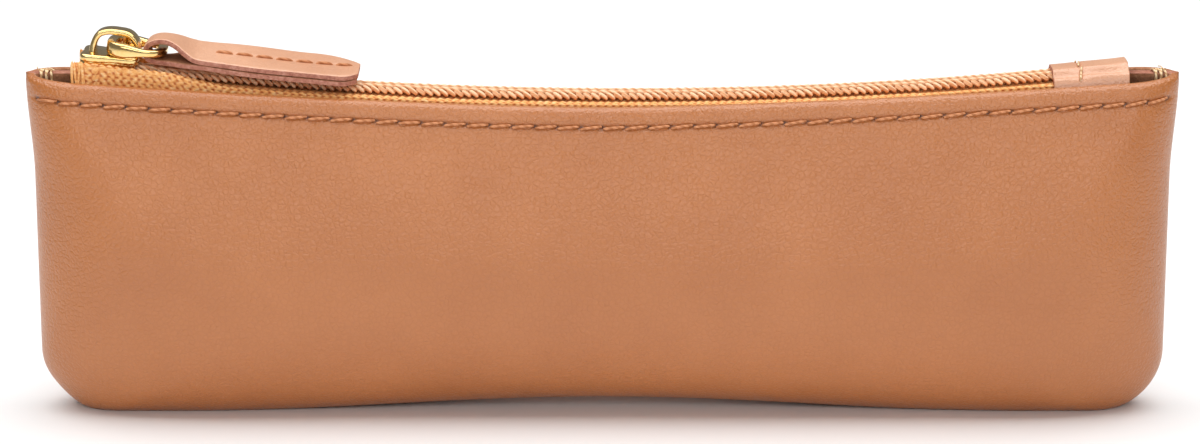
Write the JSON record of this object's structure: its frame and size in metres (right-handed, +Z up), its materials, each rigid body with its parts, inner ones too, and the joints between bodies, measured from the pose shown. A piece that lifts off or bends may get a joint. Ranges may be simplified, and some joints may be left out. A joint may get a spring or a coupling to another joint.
{
  "type": "zipped leather pen case",
  "caption": "Slim upright leather pen case with a curved coil zip, a ring slider and a folded leather pull.",
  "frame": {"origin": "centre of the bounding box on the surface the case stands on", "axes": "+X along the case towards the end tab, -Y out of the front panel, +Z up towards the zip"},
  "size_m": [0.19, 0.029, 0.0646],
  "materials": {
    "panel_leather": "soft semi-matt, fine pebbled grain",
    "trim_leather": "soft semi-matt, raw cut edges",
    "tan_thread": "twisted thread",
    "pale_thread": "twisted thread",
    "zip_tape": "knitted tape",
    "zip_thread": "chain stitch",
    "coil_nylon": "satin nylon",
    "brass": "polished plate"
  },
  "bodies": {
    "case": {"front_panel": "panel_leather", "back_panel": "panel_leather", "front_hem_stitch": "tan_thread", "back_hem_stitch": "tan_thread", "seam_stitch": "tan_thread", "left_seam_tack": "pale_thread", "right_seam_tack": "pale_thread", "end_tab": "trim_leather", "end_tab_stitch": "pale_thread"},
    "front_zip": {"front_tape": "zip_tape", "front_coil": "coil_nylon", "front_core_cord": "zip_tape", "front_coil_stitch": "zip_thread"},
    "back_zip": {"back_tape": "zip_tape", "back_coil": "coil_nylon", "back_core_cord": "zip_tape", "back_coil_stitch": "zip_thread"},
    "slider": {"slider_body": "brass", "slider_bridge": "brass"},
    "ring": {"pull_ring": "brass"},
    "pull": {"pull_tab": "trim_leather", "pull_tab_stitch": "tan_thread"}
  },
  "joints": [
    {"name": "slider_travel", "type": "hinge", "parent": "case", "child": "slider", "pos_m": [0.004, 0, 0.8023], "axis": [0, -1, 0], "range_deg": [0, 11.1]},
    {"name": "ring_swivel", "type": "hinge", "parent": "slider", "child": "ring", "pos_m": [-0.08059, 0, 0.06162], "axis": [0, -1, 0], "range_deg": [0, 125]},
    {"name": "pull_swing", "type": "hinge", "parent": "ring", "child": "pull", "pos_m": [-0.07234, 0, 0.06067], "axis": [0, -1, 0], "range_deg": [0, 45]},
    {"name": "front_zip_open", "type": "hinge", "parent": "case", "child": "front_zip", "pos_m": [0, -0.0056, 0.0495], "axis": [1, 0, 0], "range_deg": [0, 42], "deforming": ["front_tape", "front_coil", "front_core_cord", "front_coil_stitch"]},
    {"name": "back_zip_open", "type": "hinge", "parent": "case", "child": "back_zip", "pos_m": [0, 0.0056, 0.0495], "axis": [-1, 0, 0], "range_deg": [0, 42], "deforming": ["back_tape", "back_coil", "back_core_cord", "back_coil_stitch"]}
  ],
  "couplings": [
    {"joint": "front_zip_open", "follows": "slider_travel", "ratio": 3.7},
    {"joint": "back_zip_open", "follows": "slider_travel", "ratio": 3.7}
  ]
}
